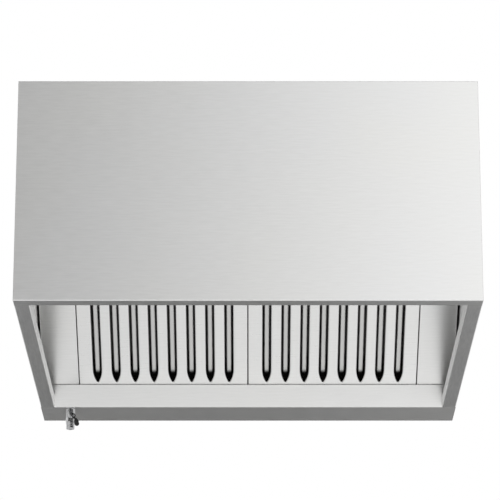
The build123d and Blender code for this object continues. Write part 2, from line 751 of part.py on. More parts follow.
def valve_stem():
    """Stem from the ball out through the packing to the lever, with a thin threaded end."""
    shoulder = LEVER_HUB + LEVER_THICK - LEVER_SEAT
    return STEM * (upright(STEM_R, STEM_START, shoulder) + upright(STEM_THREAD_R, shoulder, STEM_END))


def gland_nut():
    """Packing nut round the stem."""
    nut = prism(GLAND_FLATS, BOSS_END, GLAND_END)
    return STEM * (nut - upright(STEM_HOLE_R, BOSS_END - 1, GLAND_END + 1))


def valve_outlet():
    """Lower half of the valve: a spigot under the lower seat, and the threaded way out."""
    outlet = upright(OUTLET_WALL_R, VALVE_BOTTOM, VALVE_SPLIT)
    outlet = chamfer(outlet.edges().filter_by(GeomType.CIRCLE).sort_by(Axis.Z)[0], OUTLET_CHAMFER)
    outlet += upright(VALVE_R, VALVE_SPLIT - OUTLET_COLLAR, VALVE_SPLIT)
    outlet += upright(SEAT_R, VALVE_SPLIT, STEM_Z - BALL_R)
    outlet -= upright(OUTLET_R, VALVE_BOTTOM - 1, VALVE_BOTTOM + OUTLET_DEPTH)
    return at_drain(outlet - upright(VALVE_BORE_R, VALVE_BOTTOM, STEM_Z))


def lever_line():
    """Side view of the lever: hub against the gland, cranked out, then down."""
    free = LEVER_HUB + LEVER_CRANK
    return [(LEVER_HUB, 0), (LEVER_HUB, -LEVER_STRAIGHT), (free, -LEVER_CRANK_END), (free, -LEVER_REACH)]


def hanging_lever():
    """Cranked flat lever with a round hub, hanging straight down from the stem's axis."""
    strip = folded(lever_line(), LEVER_THICK)
    side_view = Plane(origin=(0, 0, 0), x_dir=(0, 0, 1), z_dir=(-1, 0, 0))
    lever = side_view * Pos(0, 0, -LEVER_WIDTH / 2) * extrude(strip, LEVER_WIDTH)
    lever += upright(LEVER_HUB_R, LEVER_HUB, LEVER_HUB + LEVER_THICK)
    return lever - upright(STEM_R + THREAD_FIT, VALVE_R, STEM_END + 1)


def on_stem(shape):
    """A piece drawn about the lever's own axis, turned as the lever stands and set on the stem."""
    return STEM * Rot(0, 0, LEVER_TURN) * shape


def valve_lever():
    """The lever in its place."""
    return on_stem(hanging_lever())


def lever_grip():
    """Dipped grip with rounded ends on the lever's free end."""
    out, end = lever_line()[-1]
    outline = SlotOverall(GRIP_LENGTH, GRIP_WIDTH, rotation=90)
    grip = extrude(outline, GRIP_THICK / 2, both=True)
    rims = grip.faces().filter_by(Axis.Z).edges()
    grip = fillet(rims, (GRIP_THICK - GRIP_FLAT) / 2)
    grip = Pos(0, end + GRIP_LENGTH / 2 - GRIP_TIP, out + LEVER_THICK / 2) * grip
    return on_stem(grip - hanging_lever())


def lever_nut():
    """Small nut on the stem's threaded end."""
    low, high = LEVER_HUB + LEVER_THICK, STEM_END - 0.5
    nut = prism(LEVER_NUT_FLATS, low, high) - upright(STEM_THREAD_R + THREAD_FIT, low - 1, high + 1)
    return on_stem(nut)


def filter_nodes(side, filter_x):
    """The pieces of one filter, in their places."""
    place = BANK * Pos(filter_x, 0, 0)
    inner, outer = ear_places() if filter_x > 0 else reversed(ear_places())
    return {
        f"{side}_filter_front_tray": place * filter_front(),
        f"{side}_filter_rear_tray": place * filter_rear(),
        f"{side}_filter_baffles": place * filter_baffles(),
        f"{side}_filter_handle_brackets": place * handle_brackets(),
        f"{side}_filter_handle_rivets": place * handle_rivets(),
        f"{side}_filter_inner_handle": handle(filter_x, inner),
        f"{side}_filter_outer_handle": handle(filter_x, outer),
    }


def all_nodes():
    """Every piece of the hood by name."""
    nodes = {
        "front_panel": front_panel(),
        "right_side_panel": right_side_panel(),
        "left_side_panel": mirrored(right_side_panel()),
        "rear_panel": rear_panel(),
        "top_panel": top_panel(),
        "fascia_stiffener": fascia_stiffener(),
        "top_stiffener": top_stiffener(),
        "grease_trough": grease_trough(),
        "lower_filter_rail": lower_filter_rail(),
        "upper_filter_rail": upper_filter_rail(),
        "plenum_baffle": plenum_baffle(),
        "right_filler_panel": filler_panel(BANK_SHIFT),
        "left_filler_panel": mirrored(filler_panel(-BANK_SHIFT)),
        "filler_rivets": filler_rivets(),
        "exhaust_collar": exhaust_collar(),
        "collar_gasket": collar_gasket(),
        "collar_rivets": collar_rivets(),
        "bracket_bolts": bracket_bolts(),
        "bracket_nuts": bracket_nuts(),
        "drain_washer": drain_washer(),
        "drain_spud": drain_spud(),
        "drain_locknut": drain_locknut(),
        "valve_body": valve_body(),
        "valve_outlet": valve_outlet(),
        "ball_seats": ball_seats(),
        "valve_ball": valve_ball(),
        "valve_stem": valve_stem(),
        "gland_nut": gland_nut(),
        "valve_lever": valve_lever(),
        "lever_grip": lever_grip(),
        "lever_nut": lever_nut(),
    }
    for name, (x, y) in bracket_places().items():
        nodes[f"hanging_bracket_{name}"] = Pos(x, y, 0) * hanging_bracket()
    nodes.update(filter_nodes("right", BANK_SHIFT + FILTER_CENTRE))
    nodes.update(filter_nodes("left", BANK_SHIFT - FILTER_CENTRE))
    return nodes


os.makedirs("parts", exist_ok=True)
for node, shape in all_nodes().items():
    export_step(Pos(0, 0, -FIX_HEIGHT) * shape, f"parts/{node}.step")
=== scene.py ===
import json
import math

import bmesh
import bpy
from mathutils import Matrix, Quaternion, Vector


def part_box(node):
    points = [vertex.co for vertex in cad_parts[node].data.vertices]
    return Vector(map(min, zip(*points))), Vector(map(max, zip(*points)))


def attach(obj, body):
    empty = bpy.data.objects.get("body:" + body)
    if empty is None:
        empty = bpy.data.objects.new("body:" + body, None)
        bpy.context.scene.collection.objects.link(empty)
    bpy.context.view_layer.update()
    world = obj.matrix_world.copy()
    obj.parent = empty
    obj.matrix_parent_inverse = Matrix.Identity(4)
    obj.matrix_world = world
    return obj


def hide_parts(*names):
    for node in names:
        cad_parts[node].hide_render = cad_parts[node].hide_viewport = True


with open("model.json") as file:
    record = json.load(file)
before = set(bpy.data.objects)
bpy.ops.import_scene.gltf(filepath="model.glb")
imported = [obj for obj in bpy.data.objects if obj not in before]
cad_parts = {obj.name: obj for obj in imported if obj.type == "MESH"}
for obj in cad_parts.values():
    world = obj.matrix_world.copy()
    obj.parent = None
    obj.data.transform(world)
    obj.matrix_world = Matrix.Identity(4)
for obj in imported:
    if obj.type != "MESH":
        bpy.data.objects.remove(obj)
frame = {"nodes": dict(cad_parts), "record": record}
NODES = frame["nodes"]
for part in NODES.values():
    part.data.update()
bpy.context.view_layer.update()

BEHAVIOUR = frame["record"]["behaviour"]
BODY_OF = {node: body for body, members in BEHAVIOUR["bodies"].items() for node in members}
SLOT_OF = {part["node"]: part["material_slot"] for part in frame["record"]["subparts"]}
HINGE = {joint["name"]: joint for joint in BEHAVIOUR["joints"]}

MM = 0.001
UP = Vector((0.0, 0.0, 1.0))
ACROSS = Vector((1.0, 0.0, 0.0))

# Sizes repeated from the solids, in millimetres and degrees.
BANK_SLOPE = math.radians(33.0)
RIVET_DOME = 0.55
LEVER_TURN = 14.0
COLLAR_RADIUS = 157.5
SHEET = 1.5
TROUGH_DEEP = 127.0
FRONT_GUTTER_EDGE = -965.0

# Directions of the filter bank: straight out of the filters' faces, straight in, and up the slope.
BANK_OUT = Vector((0.0, -math.sin(BANK_SLOPE), -math.cos(BANK_SLOPE)))
BANK_IN = -BANK_OUT
BANK_UP = Vector((0.0, -math.cos(BANK_SLOPE), math.sin(BANK_SLOPE)))

# Camera that matches the photograph: below the hood, looking up at its front.
CAMERA_PLACE = (0.004, -6.853, -2.101)
CAMERA_TILT = 18.11
CAMERA_LENS = 207.7
CAMERA_SENSOR = 36.0
CAMERA_REACH = 200.0

# What the steel reflects of the studio, as (place from left to right, level).
FRONT_ABOVE = [
    (0.0, 0.26), (0.2, 0.34), (0.34, 0.15), (0.463, 0.15), (0.5, 0.43), (0.537, 0.71),
    (0.62, 0.76), (0.78, 0.52), (1.0, 0.32),
]
FRONT_BELOW = [(0.0, 0.45), (0.30, 0.55), (0.46, 0.62), (0.54, 0.80), (0.7, 0.70), (1.0, 0.50)]
BACK_BELOW = [
    (0.0, 0.50), (0.2, 1.0), (0.40, 0.66), (0.46, 0.02), (0.54, 0.07), (0.60, 0.72), (0.8, 1.0), (1.0, 0.55),
]
FRONT_GAIN = 2.0
BACK_ABOVE = 0.85
OVERHEAD = 0.35
UNDERFOOT = 1.07
UNDERFOOT_LEAN = 0.9

# Soft boxes: name, place, size in metres and power in watts, and the point that they face.
LIGHTS = [("key", (3.2, -5.0, 2.6), 2.4, 160.0), ("fill", (-4.0, -3.5, 0.8), 2.4, 60.0)]
LIGHT_AIM = Vector((0.0, -0.5, -0.1))

FLOOR_HALF = 40.0
FLOOR_HEIGHT = -10.0

# Noise spends nearly all its range between these two values.
TONE_LOW = 0.3
TONE_HIGH = 0.7

# Grain of brushed sheets: the direction across it, which spreads reflections, and the axes along it.
GRAIN_X = ((0.0, 1.0, -0.9), (0,))
GRAIN_Y = ((1.0, 0.0, 0.9), (1,))
GRAIN_SLOPE = ((1.0, 0.0, 0.0), (1, 2))
SCRATCHES_ACROSS = 1400.0
SCRATCHES_ALONG = 5.0
BANDS_ACROSS = 260.0
BANDS_ALONG = 28.0

# Painted shade deep in slots and seams: where it starts and is darkest, in metres below the filters' faces,
# and the share of colour left.
SEAM_SHADE = (0.0003, 0.0020, 0.12)
SLOT_SHADE = (0.0015, 0.0050, 0.16)
WING_SHADE = (0.0158, 0.0195, 0.16)

# Painted shade at a strip's foot: where it is darkest and where it ends, in metres up the slope, and the
# same share.
FOOT_SHADE = (0.0020, 0.0150, 0.02)

# Share of the colour left by painted shade on the inner side of the front's sheet.
BACK_SHADE = 0.45

# Corners round each ring of a turned piece, and rings in each turn of a thread.
RIVET_STEPS = 32
NUT_STEPS = 36
OUTLET_STEPS = 48
COLLAR_STEPS = 180
RINGS_PER_TURN = 5

# Angles in degrees at which smooth shading breaks, and how near corners are merged, in millimetres.
SHARP_ANGLE = 35.0
WELD_ANGLE = 60.0
MERGE_REACH = 0.001

# Fall of a hexagon's chamfer for each millimetre outwards.
CHAMFER_FALL = 0.5


def add(tree, kind, sockets=None, **settings):
    """A shader node with its settings, and each named socket either linked or set."""
    made = tree.nodes.new("ShaderNode" + kind)
    for name, value in settings.items():
        setattr(made, name, value)
    for name, value in (sockets or {}).items():
        if isinstance(value, bpy.types.NodeSocket):
            tree.links.new(value, made.inputs[name])
        else:
            made.inputs[name].default_value = value
    return made


def ramp(tree, factor, stops, interpolation="LINEAR"):
    """A colour ramp with (position, colour) stops."""
    made = add(tree, "ValToRGB", {"Fac": factor})
    made.color_ramp.interpolation = interpolation
    elements = made.color_ramp.elements
    while len(elements) < len(stops):
        elements.new(1.0)
    for element, (position, colour) in zip(elements, stops):
        element.position = position
        element.color = (*colour, 1.0) if isinstance(colour, tuple) else (colour, colour, colour, 1.0)
    return made.outputs["Color"]


def spread(tree, value, low, high, to_low, to_high, kind="SMOOTHSTEP"):
    """One range carried onto another."""
    sockets = {"Value": value, "From Min": low, "From Max": high, "To Min": to_low, "To Max": to_high}
    return add(tree, "MapRange", sockets, interpolation_type=kind).outputs["Result"]


def fade(tree, value, start, end):
    """A smooth rise from 0 at the start to 1 at the end."""
    return spread(tree, value, start, end, 0.0, 1.0)


def maths(tree, operation, first, second):
    """A sum, product or other simple step on two values."""
    made = add(tree, "Math", operation=operation)
    for socket, value in zip(made.inputs, (first, second)):
        if isinstance(value, bpy.types.NodeSocket):
            tree.links.new(value, socket)
        else:
            socket.default_value = value
    return made.outputs[0]


def scaled(tree, first, second):
    """The product of two values."""
    return maths(tree, "MULTIPLY", first, second)


def weighed(tree, first, share, second):
    """The sum of two values, the first with a share of the whole and the second with the rest."""
    return maths(tree, "ADD", scaled(tree, first, share), scaled(tree, second, 1.0 - share))


def blended(tree, factor, first, second):
    """Two values mixed by a factor."""
    return add(tree, "Mix", {"Factor": factor, "A": first, "B": second}, data_type="FLOAT").outputs["Result"]


def multiplied(tree, first, second):
    """Two colours multiplied; a Mix node's colour sockets come after its number and vector ones."""
    made = add(tree, "Mix", {0: 1.0, 6: first, 7: second}, data_type="RGBA", blend_type="MULTIPLY")
    return made.outputs[2]


def make_camera():
    """The photograph's long lens from below."""
    data = bpy.data.cameras.new("camera")
    data.sensor_fit = "HORIZONTAL"
    data.sensor_width = CAMERA_SENSOR
    data.lens = CAMERA_LENS
    data.clip_end = CAMERA_REACH
    camera = bpy.data.objects.new("camera", data)
    camera.location = CAMERA_PLACE
    camera.rotation_euler = (math.radians(90.0 + CAMERA_TILT), 0.0, 0.0)
    bpy.context.scene.collection.objects.link(camera)
    bpy.context.scene.camera = camera


def front_light(tree, across, z):
    """The studio in front of the hood, above and below the horizon."""
    above = scaled(tree, ramp(tree, across, FRONT_ABOVE, "CARDINAL"), FRONT_GAIN)
    above = scaled(tree, above, spread(tree, z, 0.0, 0.42, 0.80, 1.03))
    below = scaled(tree, ramp(tree, across, FRONT_BELOW, "EASE"), FRONT_GAIN)
    below = scaled(tree, below, spread(tree, z, -0.80, -0.35, 0.40, 1.0))
    return blended(tree, fade(tree, z, -0.20, -0.02), below, above)


def back_light(tree, across, z):
    """The studio behind the hood: dark in the middle low down, and even above."""
    return blended(tree, fade(tree, z, 0.15, 0.60), ramp(tree, across, BACK_BELOW, "EASE"), BACK_ABOVE)


def make_world():
    """Plain white background, and a soft studio for what the steel reflects."""
    world = bpy.data.worlds.new("studio")
    bpy.context.scene.world = world
    world.use_nodes = True
    tree = world.node_tree
    tree.nodes.clear()
    axes = add(tree, "SeparateXYZ", {"Vector": add(tree, "TexCoord").outputs["Generated"]})
    x, y, z = (axes.outputs[name] for name in "XYZ")
    across = spread(tree, x, -1.0, 1.0, 0.0, 1.0, "LINEAR")
    front = front_light(tree, across, z)
    back = back_light(tree, across, z)
    level = blended(tree, fade(tree, y, -0.25, 0.25), front, back)
    underfoot = maths(tree, "ADD", scaled(tree, x, UNDERFOOT_LEAN), UNDERFOOT)
    level = blended(tree, spread(tree, z, -0.95, -0.82, 1.0, 0.0), level, underfoot)
    level = blended(tree, fade(tree, z, 0.70, 0.95), level, OVERHEAD)
    lit = add(tree, "Background", {"Color": (1.0, 1.0, 1.0, 1.0), "Strength": level})
    plain = add(tree, "Background", {"Color": (1.0, 1.0, 1.0, 1.0), "Strength": 1.0})
    seen = add(tree, "LightPath").outputs["Is Camera Ray"]
    shown = add(tree, "MixShader", {0: seen, 1: lit.outputs[0], 2: plain.outputs[0]})
    add(tree, "OutputWorld", {"Surface": shown.outputs[0]})


def make_floor():
    """A wide pale floor far below the hood, so that views from underneath stay clear."""
    mesh = bpy.data.meshes.new("floor")
    signs = ((-1, -1), (1, -1), (1, 1), (-1, 1))
    mesh.from_pydata([(x * FLOOR_HALF, y * FLOOR_HALF, FLOOR_HEIGHT) for x, y in signs], [], [(0, 1, 2, 3)])
    floor = bpy.data.objects.new("floor", mesh)
    bpy.context.scene.collection.objects.link(floor)
    material, tree, shader, place = material_tree("pale_floor")
    shader.inputs["Roughness"].default_value = 0.9
    mottle = add(tree, "TexNoise", {"Vector": place, "Scale": 0.6}).outputs["Fac"]
    coloured(tree, shader, mottle, 0.86, 0.90)
    mesh.materials.append(material)
    floor.visible_glossy = False
    floor.visible_diffuse = False
    floor.visible_shadow = False


def make_lights():
    """Soft boxes that give matt pieces their shape."""
    for name, place, size, power in LIGHTS:
        data = bpy.data.lights.new(name, "AREA")
        data.size = size
        data.energy = power
        light = bpy.data.objects.new(name, data)
        light.location = place
        light.rotation_euler = (LIGHT_AIM - Vector(place)).to_track_quat("-Z", "Y").to_euler()
        light.visible_glossy = False
        light.visible_camera = False
        bpy.context.scene.collection.objects.link(light)


def material_tree(name):
    """A new material with its node tree, main shader and object coordinates."""
    material = bpy.data.materials.new(name)
    material.use_nodes = True
    tree = material.node_tree
    return material, tree, tree.nodes["Principled BSDF"], add(tree, "TexCoord").outputs["Object"]


def noise(tree, place, scale, detail):
    """Noise of one scale all ways."""
    return add(tree, "TexNoise", {"Vector": place, "Scale": scale, "Detail": detail}).outputs["Fac"]


def stretched(tree, place, scale, detail, roughness=0.5):
    """Noise on coordinates scaled separately along X, Y and Z."""
    mapped = add(tree, "Mapping", {"Vector": place, "Scale": scale}).outputs["Vector"]
    sockets = {"Vector": mapped, "Scale": 1.0, "Detail": detail, "Roughness": roughness}
    return add(tree, "TexNoise", sockets).outputs["Fac"]


def coloured(tree, shader, tone, low, high):
    """The shader's colour between two colours, after a tone."""
    colour = ramp(tree, tone, [(TONE_LOW, low), (TONE_HIGH, high)])
    tree.links.new(colour, shader.inputs["Base Color"])


def roughened(tree, shader, tone, low, high):
    """The shader's roughness between two values, after a tone."""
    tree.links.new(spread(tree, tone, TONE_LOW, TONE_HIGH, low, high), shader.inputs["Roughness"])


def bumped(tree, shader, height, strength, distance):
    """A bump on the shader from a height value, its distance in metres."""
    bump = add(tree, "Bump", {"Height": height, "Strength": strength, "Distance": distance})
    tree.links.new(bump.outputs["Normal"], shader.inputs["Normal"])


def metallic(shader):
    """The shader made bare metal."""
    shader.inputs["Metallic"].default_value = 1.0


def past_node(tree, place, direction, node):
    """Metres along a direction from a CAD node's near side, from object coordinates."""
    reach = add(tree, "VectorMath", {0: place, 1: direction}, operation="DOT_PRODUCT").outputs["Value"]
    side = min(corner.co.dot(direction) for corner in NODES[node].data.vertices)
    return maths(tree, "SUBTRACT", reach, side)


def depth_shade(start, end, darkest):
    """A painted shade that darkens with depth below the filters' faces, where slots and seams lie in shadow.
    """
    def shade(tree, place):
        depth = past_node(tree, place, BANK_IN, "left_filler_panel")
        deep = spread(tree, depth, start, end, 0.0, 1.0, "LINEAR")
        return ramp(tree, deep, [(0.0, 1.0), (1.0, darkest)])
    return shade


def strip_shade(tree, place):
    """Painted shade over a baffle strip's wings, and darker towards its lower end, which the slot's nose
    shades.
    """
    wings = depth_shade(*WING_SHADE)
    start, end, darkest = FOOT_SHADE
    # clean is the share left unshaded: the painted shade is darkest at the strip's foot.
    clean = fade(tree, past_node(tree, place, BANK_UP, "left_filter_baffles"), start, end)
    return multiplied(tree, wings(tree, place), ramp(tree, clean, [(0.0, darkest), (1.0, 1.0)]))


def shaded_back(tree, place):
    """Painted shade on the inner side of the front's sheet, between the fold of its face and its lip."""
    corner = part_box("front_panel")[0]
    lip = FRONT_GUTTER_EDGE * MM
    step = 0.5 * MM
    axes = add(tree, "SeparateXYZ", {"Vector": place}).outputs
    behind = fade(tree, axes["Y"], corner.y + step, corner.y + 2 * step)
    before = spread(tree, axes["Y"], lip - 2 * step, lip - step, 1.0, 0.0)
    above = fade(tree, axes["Z"], corner.z + step, corner.z + 2 * step)
    inside = scaled(tree, scaled(tree, behind, before), above)
    return ramp(tree, inside, [(0.0, 1.0), (1.0, BACK_SHADE)])


def brushed(name, grain, low, high, roughness, anisotropic, shade=None):
    """Brushed stainless steel: long fine scratches, faint patches and reflections drawn across the grain."""
    material, tree, shader, place = material_tree(name)
    across, along = grain
    fine = [SCRATCHES_ALONG if axis in along else SCRATCHES_ACROSS for axis in range(3)]
    coarse = [BANDS_ALONG if axis in along else BANDS_ACROSS for axis in range(3)]
    scratches = stretched(tree, place, fine, 3.0, 0.65)
    bands = stretched(tree, place, coarse, 2.0)
    patches = noise(tree, place, 3.5, 1.0)
    tone = weighed(tree, scratches, 0.5, bands)
    colour = ramp(tree, tone, [(0.38, low), (0.62, high)])
    tint = ramp(tree, patches, [(0.35, (1.0, 1.0, 0.992)), (0.65, (0.996, 0.998, 1.0))])
    colour = multiplied(tree, colour, tint)
    # Painted shade where a shade is given, darkening recessed and inner surfaces.
    if shade:
        colour = multiplied(tree, colour, shade(tree, place))
    tree.links.new(colour, shader.inputs["Base Color"])
    roughened(tree, shader, tone, roughness - 0.03, roughness + 0.03)
    bumped(tree, shader, scratches, 0.12, 0.00004)
    metallic(shader)
    shader.inputs["Anisotropic"].default_value = anisotropic
    tangent = add(tree, "CombineXYZ", dict(zip("XYZ", across))).outputs["Vector"]
    tree.links.new(tangent, shader.inputs["Tangent"])
    return material


def mill_steel(name, low, high):
    """Unbrushed sheet inside the hood: matt, cloudy and a little stained by use; the darkest kind is painted
    shade.
    """
    material, tree, shader, place = material_tree(name)
    cloud = noise(tree, place, 5.0, 3.0)
    rolled = stretched(tree, place, (5.0, 420.0, 420.0), 2.0)
    tone = weighed(tree, cloud, 0.4, rolled)
    coloured(tree, shader, tone, low, high)
    roughened(tree, shader, tone, 0.46, 0.53)
    bumped(tree, shader, rolled, 0.1, 0.00005)
    metallic(shader)
    return material


def wire_steel():
    """Bright drawn wire for the handles and their ears."""
    material, tree, shader, place = material_tree("wire_steel")
    marks = stretched(tree, place, (260.0, 260.0, 260.0), 3.0)
    coloured(tree, shader, marks, (0.60, 0.60, 0.59), (0.74, 0.74, 0.73))
    roughened(tree, shader, marks, 0.16, 0.28)
    bumped(tree, shader, marks, 0.2, 0.0001)
    metallic(shader)
    return material


def ground_weld():
    """Weld that was ground flat: finely scratched and a touch brighter than the sheet."""
    material, tree, shader, place = material_tree("ground_weld")
    marks = stretched(tree, place, (900.0, 900.0, 900.0), 4.0)
    coloured(tree, shader, marks, (0.60, 0.59, 0.57), (0.78, 0.78, 0.77))
    roughened(tree, shader, marks, 0.30, 0.50)
    bumped(tree, shader, marks, 0.3, 0.0001)
    metallic(shader)
    return material


def galvanised():
    """Hot-dipped zinc with its spangle."""
    material, tree, shader, place = material_tree("galvanised")
    crystals = add(tree, "TexVoronoi", {"Vector": place, "Scale": 95.0, "Randomness": 1.0})
    shade = add(tree, "SeparateColor", {"Color": crystals.outputs["Color"]}).outputs["Red"]
    spangle = weighed(tree, shade, 0.75, noise(tree, place, 420.0, 3.0))
    colour = ramp(tree, spangle, [(0.1, (0.47, 0.49, 0.51)), (0.9, (0.66, 0.67, 0.69))])
    tree.links.new(colour, shader.inputs["Base Color"])
    tree.links.new(spread(tree, spangle, 0.0, 1.0, 0.30, 0.50), shader.inputs["Roughness"])
    bumped(tree, shader, spangle, 0.15, 0.0001)
    metallic(shader)
    return material


def plated():
    """Zinc-plated fasteners with a faint passivated tint."""
    material, tree, shader, place = material_tree("plated")
    cloud = noise(tree, place, 300.0, 3.0)
    tints = [(0.3, (0.58, 0.60, 0.62)), (0.55, (0.68, 0.68, 0.66)), (0.75, (0.66, 0.66, 0.70))]
    tree.links.new(ramp(tree, cloud, tints), shader.inputs["Base Color"])
    roughened(tree, shader, cloud, 0.22, 0.36)
    bumped(tree, shader, cloud, 0.1, 0.0001)
    metallic(shader)
    return material


def chromed():
    """Chrome on brass, with the slight ripple of a cast and polished body."""
    material, tree, shader, place = material_tree("chromed")
    ripple = noise(tree, place, 160.0, 2.0)
    haze = noise(tree, place, 900.0, 3.0)
    coloured(tree, shader, haze, (0.63, 0.64, 0.65), (0.71, 0.71, 0.72))
    roughened(tree, shader, haze, 0.03, 0.08)
    bumped(tree, shader, ripple, 0.6, 0.0004)
    metallic(shader)
    return material


def brass():
    """Turned brass with fine tool marks."""
    material, tree, shader, place = material_tree("brass")
    marks = stretched(tree, place, (300.0, 300.0, 2600.0), 2.0)
    coloured(tree, shader, marks, (0.60, 0.44, 0.20), (0.78, 0.62, 0.34))
    roughened(tree, shader, marks, 0.18, 0.32)
    bumped(tree, shader, marks, 0.2, 0.0001)
    metallic(shader)
    return material


def moulded(name, colours, roughness, grain, strength):
    """A plastic, rubber or painted surface: a little mottle, and a fine skin texture."""
    material, tree, shader, place = material_tree(name)
    coloured(tree, shader, noise(tree, place, 60.0, 3.0), *colours)
    skin = noise(tree, place, grain, 2.0)
    roughened(tree, shader, skin, *roughness)
    bumped(tree, shader, skin, strength, 0.0002)
    return material


def make_steels():
    """The steels of the panels and filters, which differ in grain and polish, and in painted shade where
    they lie in shadow.
    """
    bright = ((0.745, 0.745, 0.739), (0.785, 0.785, 0.780))
    side = ((0.715, 0.715, 0.709), (0.815, 0.815, 0.810))
    # Strips are given darker colours than the faces: painted shade for strips lying back in the slots.
    strip_shaded = ((0.60, 0.60, 0.59), (0.64, 0.64, 0.63))
    clean = ((0.405, 0.403, 0.396), (0.455, 0.455, 0.450))
    # The rear trays' near-black colours are painted shade for the trays seen deep through the slots.
    shade_dark = ((0.110, 0.107, 0.100), (0.140, 0.138, 0.132))
    return {
        "panel_steel": brushed("brushed_across", GRAIN_X, *bright, 0.35, 0.75),
        "front_steel": brushed("brushed_front", GRAIN_X, *bright, 0.35, 0.75, shaded_back),
        "side_steel": brushed("brushed_along", GRAIN_Y, *side, 0.35, 0.75),
        "blank_steel": brushed("brushed_blank", GRAIN_X, *bright, 0.38, 0.62, depth_shade(*SEAM_SHADE)),
        "filter_steel": brushed("brushed_filter", GRAIN_X, *bright, 0.30, 0.88, depth_shade(*SLOT_SHADE)),
        "strip_steel": brushed("brushed_strip", GRAIN_SLOPE, *strip_shaded, 0.35, 0.90, strip_shade),
        "inner_steel": mill_steel("mill_steel", *clean),
        "shade_dark_steel": mill_steel("shade_dark_steel", *shade_dark),
        "weld_steel": ground_weld(),
        "handle_steel": wire_steel(),
    }


def make_plastics():
    """The soft seats, the painted lever, its grip and the rubber seals."""
    white = ((0.80, 0.80, 0.77), (0.88, 0.88, 0.86))
    paint = ((0.012, 0.012, 0.013), (0.022, 0.022, 0.023))
    vinyl = ((0.010, 0.010, 0.011), (0.020, 0.020, 0.021))
    rubber = ((0.018, 0.018, 0.018), (0.035, 0.035, 0.034))
    return {
        "soft_seat": moulded("soft_seat", white, (0.35, 0.5), 900.0, 0.1),
        "black_lever": moulded("black_lever", paint, (0.28, 0.42), 1500.0, 0.15),
        "black_grip": moulded("black_grip", vinyl, (0.45, 0.60), 1200.0, 0.25),
        "black_rubber": moulded("black_rubber", rubber, (0.65, 0.85), 1500.0, 0.3),
    }


def make_finishes():
    """Every material by the record's slot it belongs to, and the steels that differ within a slot."""
    return {
        **make_steels(),
        "galvanised_steel": galvanised(),
        "plated_fasteners": plated(),
        "chromed_brass": chromed(),
        "bare_brass": brass(),
        **make_plastics(),
    }


def finish_of(node):
    """The finish of a CAD node: the steel that suits its place, or its slot's own."""
    if node in ("rear_panel", "plenum_baffle", "lower_filter_rail"):
        return "inner_steel"
    for ending, finish in (
        ("filter_baffles", "strip_steel"),
        ("rear_tray", "shade_dark_steel"),
        ("front_panel", "front_steel"),
        ("side_panel", "side_steel"),
        ("filler_panel", "blank_steel"),
    ):
        if node.endswith(ending):
            return finish
    return SLOT_OF[node]


def dress_nodes(finishes):
    """Every CAD node gets its finish."""
    for node, piece in NODES.items():
        piece.data.materials.clear()
        piece.data.materials.append(finishes[finish_of(node)])


def solids_in(node):
    """The corners of each separate solid of a CAD node."""
    mesh = NODES[node].data
    places = [tuple(round(value, 6) for value in corner.co) for corner in mesh.vertices]
    leader = {place: place for place in places}

    def first(place):
        while leader[place] != place:
            leader[place] = leader[leader[place]]
            place = leader[place]
        return place

    for edge in mesh.edges:
        start, end = (first(places[index]) for index in edge.vertices)
        leader[start] = end
    groups = {}
    for place in leader:
        groups.setdefault(first(place), []).append(Vector(place))
    return list(groups.values())


def stations(node, axis):
    """For each solid of a node: the top point of its middle line, and its length along the axis."""
    side = axis.orthogonal().normalized()
    directions = (side, axis.cross(side), axis)
    found = []
    for corners in solids_in(node):
        spans = []
        for direction in directions:
            heights = [corner.dot(direction) for corner in corners]
            spans.append((min(heights), max(heights)))
        middle = sum((d * (low + high) / 2 for d, (low, high) in zip(directions[:2], spans)), Vector())
        low, high = spans[2]
        found.append((middle + axis * high, high - low))
    return found


def turned(top, axis, corner, rings, steps):
    """Corners and faces of a body of rings about an axis: each ring gives radius and height for an angle."""
    side = axis.cross(corner)
    corners, faces = [], []
    for ring in rings:
        for n in range(steps):
            angle = 2 * math.pi * n / steps
            radius, height = ring(angle)
            arm = corner * math.cos(angle) + side * math.sin(angle)
            corners.append(top + (arm * radius + axis * height) * MM)
    for r in range(len(rings) - 1):
        here, there = r * steps, (r + 1) * steps
        for n in range(steps):
            following = (n + 1) % steps
            faces.append((here + n, there + n, there + following, here + following))
    return corners, faces


def circle(radius, height):
    """A plain ring."""
    return lambda angle: (radius, height)


def circles(*points):
    """Plain rings, each from its radius and height."""
    return [circle(radius, height) for radius, height in points]


def hexagon(flats, height, crown=None, rise=0.0):
    """A six-sided ring with a corner at angle zero. Outside its crown circle a chamfer may rise or fall."""
    def ring(angle):
        radius = flats / 2 / math.cos(angle % (math.pi / 3) - math.pi / 6)
        lift = 0.0 if crown is None else (radius - crown) * rise
        return radius, height + lift
    return ring


def thread(major, minor, pitch, high, low):
    """Rings of a helical thread between two heights."""
    count = int((high - low) / pitch * RINGS_PER_TURN)
    rings = []
    for n in range(count + 1):
        height = high - (high - low) * n / count

        def ring(angle, height=height):
            phase = (height / pitch - angle / (2 * math.pi)) % 1.0
            return minor + (major - minor) * abs(2 * phase - 1), height
        rings.append(ring)
    return rings


def smooth_piece(name, corners, faces, material, sharp):
    """A mesh object with smooth shading except at sharp edges."""
    mesh = bpy.data.meshes.new(name)
    mesh.from_pydata(corners, [], faces)
    shape = bmesh.new()
    shape.from_mesh(mesh)
    bmesh.ops.remove_doubles(shape, verts=shape.verts, dist=MERGE_REACH * MM)
    shape.to_mesh(mesh)
    shape.free()
    mesh.validate()
    mesh.shade_smooth()
    mesh.set_sharp_from_angle(angle=math.radians(sharp))
    mesh.materials.append(material)
    piece = bpy.data.objects.new(name, mesh)
    bpy.context.scene.collection.objects.link(piece)
    return piece


def stand_for(node, name, bodies, finishes):
    """One detailed piece made of several turned bodies, which stands for a CAD node."""
    corners, faces = [], []
    for body_corners, body_faces in bodies:
        start = len(corners)
        corners += body_corners
        faces += [tuple(start + index for index in face) for face in body_faces]
    piece = smooth_piece(name, corners, faces, finishes[SLOT_OF[node]], SHARP_ANGLE)
    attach(piece, BODY_OF[node])
    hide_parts(node)


